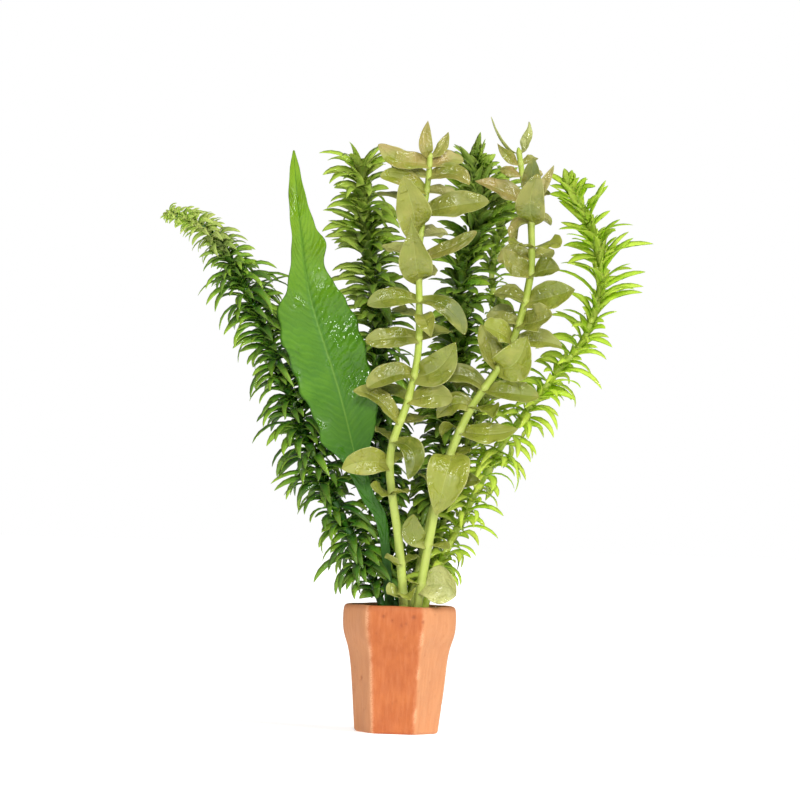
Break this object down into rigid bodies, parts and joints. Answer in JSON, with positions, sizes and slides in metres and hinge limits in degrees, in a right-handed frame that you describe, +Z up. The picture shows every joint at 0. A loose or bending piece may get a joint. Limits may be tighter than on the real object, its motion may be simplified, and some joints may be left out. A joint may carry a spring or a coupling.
{
  "type": "potted egeria",
  "caption": "Mixed bunch of water plants, mostly egeria with bacopa stems and one fern leaf, standing in a small six-sided terracotta pot.",
  "frame": {"origin": "middle of the pot's flat foot, on the surface that it stands on", "axes": "+Z up along the pot, +X to the right and -Y to the front as the picture sees the fan of stems"},
  "size_m": [0.1902, 0.0784, 0.247],
  "materials": {
    "terracotta": "matt unglazed clay with small pits and streaks",
    "growing_wool": "wet mineral wool",
    "fern_leaf": "wet glossy leaf",
    "egeria": "wet translucent leaves",
    "bacopa_stem": "smooth wet stem",
    "bacopa_leaf": "wet olive leaf"
  },
  "bodies": {
    "root": {"bacopa_back_pair_01": "bacopa_leaf", "bacopa_back_pair_02": "bacopa_leaf", "bacopa_back_pair_03": "bacopa_leaf", "bacopa_back_pair_04": "bacopa_leaf", "bacopa_back_pair_05": "bacopa_leaf", "bacopa_back_pair_06": "bacopa_leaf", "bacopa_back_pair_07": "bacopa_leaf", "bacopa_back_pair_08": "bacopa_leaf", "bacopa_back_stem": "bacopa_stem", "bacopa_left_pair_01": "bacopa_leaf", "bacopa_left_pair_02": "bacopa_leaf", "bacopa_left_pair_03": "bacopa_leaf", "bacopa_left_pair_04": "bacopa_leaf", "bacopa_left_pair_05": "bacopa_leaf", "bacopa_left_pair_06": "bacopa_leaf", "bacopa_left_pair_07": "bacopa_leaf", "bacopa_left_pair_08": "bacopa_leaf", "bacopa_left_pair_09": "bacopa_leaf", "bacopa_left_pair_10": "bacopa_leaf", "bacopa_left_pair_11": "bacopa_leaf", "bacopa_left_pair_12": "bacopa_leaf", "bacopa_left_pair_13": "bacopa_leaf", "bacopa_left_pair_14": "bacopa_leaf", "bacopa_left_pair_15": "bacopa_leaf", "bacopa_left_pair_16": "bacopa_leaf", "bacopa_left_pair_17": "bacopa_leaf", "bacopa_left_pair_18": "bacopa_leaf", "bacopa_left_pair_19": "bacopa_leaf", "bacopa_left_stem": "bacopa_stem", "bacopa_right_pair_01": "bacopa_leaf", "bacopa_right_pair_02": "bacopa_leaf", "bacopa_right_pair_03": "bacopa_leaf", "bacopa_right_pair_04": "bacopa_leaf", "bacopa_right_pair_05": "bacopa_leaf", "bacopa_right_pair_06": "bacopa_leaf", "bacopa_right_pair_07": "bacopa_leaf", "bacopa_right_pair_08": "bacopa_leaf", "bacopa_right_pair_09": "bacopa_leaf", "bacopa_right_pair_10": "bacopa_leaf", "bacopa_right_pair_11": "bacopa_leaf", "bacopa_right_pair_12": "bacopa_leaf", "bacopa_right_pair_13": "bacopa_leaf", "bacopa_right_pair_14": "bacopa_leaf", "bacopa_right_pair_15": "bacopa_leaf", "bacopa_right_stem": "bacopa_stem", "egeria_back_left": "egeria", "egeria_back_middle": "egeria", "egeria_back_right": "egeria", "egeria_far_left": "egeria", "egeria_right": "egeria", "fern_leaf": "fern_leaf", "growing_wool": "growing_wool", "pot": "terracotta"}
  },
  "joints": []
}
